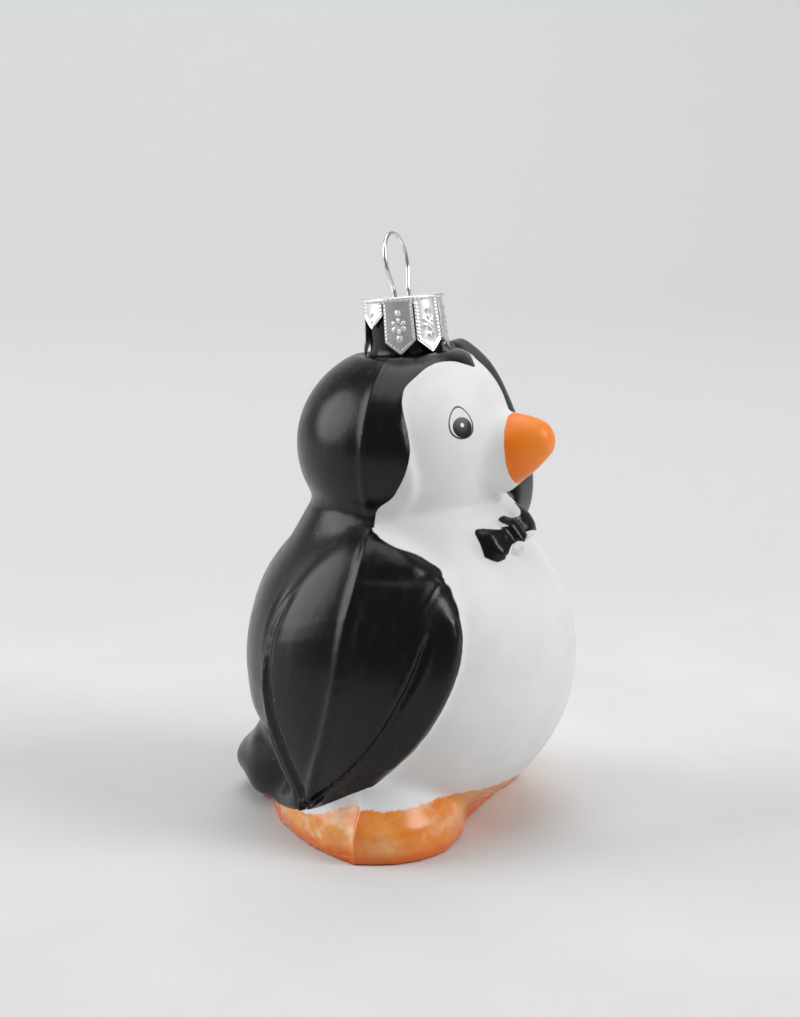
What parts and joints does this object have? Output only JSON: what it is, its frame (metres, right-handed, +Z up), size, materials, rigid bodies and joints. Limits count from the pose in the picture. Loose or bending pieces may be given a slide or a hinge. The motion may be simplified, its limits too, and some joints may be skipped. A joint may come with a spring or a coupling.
{
  "type": "penguin figurine",
  "caption": "Hollow blown-glass penguin with a bow tie, one wing raised, flat feet, a petalled metal crown cap and a spring-wire hanging loop.",
  "frame": {"origin": "on the flat sole, under the centre of the round body", "axes": "+Z up from the sole to the hanging loop, -Y the way the beak points, -X the penguin's right side"},
  "size_m": [0.0544, 0.0534, 0.0861],
  "materials": {
    "painted_glass": "painted black, white and orange, satin to glossy",
    "silvered_cap": "bright, stamped",
    "spring_wire": "bright drawn wire"
  },
  "bodies": {
    "figurine": {"glass_body": "painted_glass"},
    "cap": {"crown_cap": "silvered_cap"},
    "hanger": {"hanger_wire": "spring_wire"}
  },
  "joints": [
    {"name": "cap_lift", "type": "slide", "parent": "figurine", "child": "cap", "axis": [0.0606, 0.1216, 0.9907], "range_m": [0, 0.016]},
    {"name": "hanger_rock", "type": "hinge", "parent": "cap", "child": "hanger", "pos_m": [0.00129, 0.00189, 0.07663], "axis": [0.9981, 0, -0.061], "range_deg": [-1, 11]}
  ]
}
